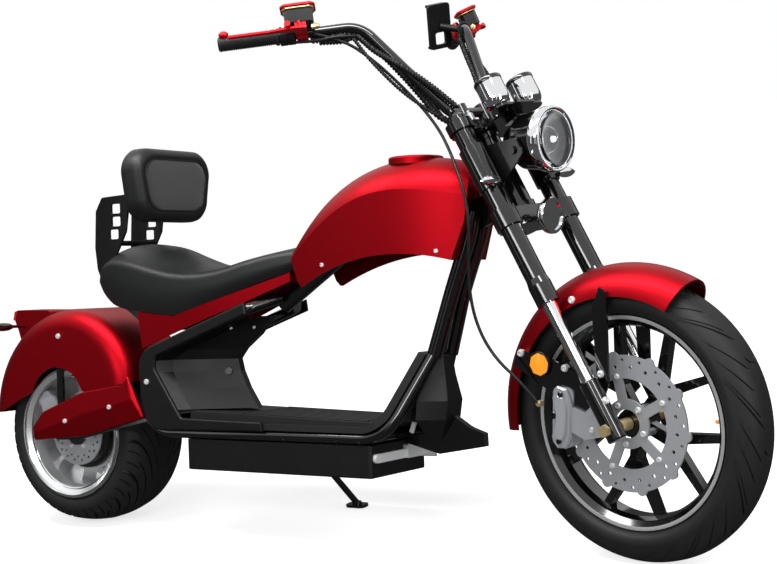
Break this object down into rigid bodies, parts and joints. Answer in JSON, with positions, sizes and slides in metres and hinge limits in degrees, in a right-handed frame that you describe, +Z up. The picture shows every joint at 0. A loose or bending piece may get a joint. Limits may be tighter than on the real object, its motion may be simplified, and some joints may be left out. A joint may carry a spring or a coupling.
{
  "type": "electric chopper scooter",
  "caption": "Low electric chopper scooter with a fat rear wheel, long raked fork, tank cover, padded seat with backrest, and side stand.",
  "frame": {"origin": "bottom centre of the bounding box of the scooter parked on its side stand, on the ground", "axes": "+X towards the front wheel, +Y to the rider's left, +Z up; the scooter leans 8 degrees to its left"},
  "size_m": [2.0836, 0.8434, 1.217],
  "materials": {
    "frame_black": "gloss black paint",
    "fork_black": "gloss black coat",
    "cover_plastic": "satin black",
    "candy_red": "satin metallic red",
    "seat_leather": "black leatherette",
    "pad_fabric": "black woven mesh",
    "footboard_rubber": "ribbed matt black",
    "grip_rubber": "matt black",
    "hose_rubber": "smooth black",
    "tyre": "matt black",
    "chrome": "polished",
    "bright_steel": "zinc",
    "disc_steel": "brushed",
    "polished_aluminium": "polished",
    "caliper_metal": "satin",
    "latch_metal": "satin",
    "motor_black": "black coat",
    "anodised_red": "anodised red",
    "lamp_glass": "clear",
    "lamp_red": "clear red",
    "amber_plastic": "amber prism"
  },
  "bodies": {
    "chassis": {"frame_spine": "frame_black", "cradle_right": "frame_black", "cradle_left": "frame_black", "cross_members": "frame_black", "belly_housing": "cover_plastic", "belly_panels": "cover_plastic", "footboard": "footboard_rubber", "battery_box": "cover_plastic", "battery_latch": "latch_metal", "front_cover": "cover_plastic", "front_bracket": "frame_black", "tank_cover": "candy_red", "tank_cap": "candy_red", "seat_cushion": "seat_leather", "seat_pan": "candy_red", "backrest_pad": "pad_fabric", "backrest_bracket": "frame_black", "rear_fender": "candy_red", "tail_housing": "candy_red", "tail_lamp": "lamp_red", "rear_indicators": "amber_plastic", "swingarm": "frame_black", "swingarm_covers": "candy_red", "rear_axle": "bright_steel", "fender_stays": "frame_black", "rear_caliper": "caliper_metal", "stand_bracket": "frame_black"},
    "fork": {"lower_clamp": "frame_black", "upper_clamp": "frame_black", "fork_tubes": "fork_black", "stanchions": "chrome", "fork_lugs": "fork_black", "front_axle": "bright_steel", "handlebar": "fork_black", "grips": "grip_rubber", "switch_housings": "cover_plastic", "master_cylinders": "anodised_red", "reservoir_caps": "anodised_red", "brake_levers": "anodised_red", "phone_holder": "cover_plastic", "headlamp_bucket": "fork_black", "headlamp_bezel": "chrome", "headlamp_lens": "lamp_glass", "lamp_mounts": "frame_black", "instrument_pods": "chrome", "horn": "chrome", "front_indicators": "chrome", "front_fender": "candy_red", "fender_brackets": "fork_black", "reflectors": "amber_plastic", "front_caliper": "caliper_metal", "brake_hose": "hose_rubber"},
    "front_wheel": {"front_tyre": "tyre", "front_rim": "fork_black", "front_disc": "disc_steel"},
    "rear_wheel": {"rear_tyre": "tyre", "hub_motor": "motor_black", "rear_rim": "polished_aluminium", "rear_disc": "disc_steel"},
    "side_stand": {"side_stand": "frame_black"}
  },
  "joints": [
    {"name": "steering", "type": "hinge", "parent": "chassis", "child": "fork", "pos_m": [0.49376, -0.09923, 0.72272], "axis": [-0.4681, 0.123, 0.8751], "range_deg": [-18.6, 41.4]},
    {"name": "front_wheel_spin", "type": "hinge", "parent": "fork", "child": "front_wheel", "pos_m": [0.74861, -0.16389, 0.29676], "axis": [0.1747, 0.9836, -0.0448], "continuous": true},
    {"name": "rear_wheel_spin", "type": "hinge", "parent": "chassis", "child": "rear_wheel", "pos_m": [-0.78295, -0.16779, 0.23456], "axis": [0, 0.9903, -0.1392], "continuous": true},
    {"name": "side_stand_pivot", "type": "hinge", "parent": "chassis", "child": "side_stand", "pos_m": [-0.22294, -0.03715, 0.18705], "axis": [0.1638, 0.8602, 0.483], "range_deg": [0, 109.81]}
  ]
}
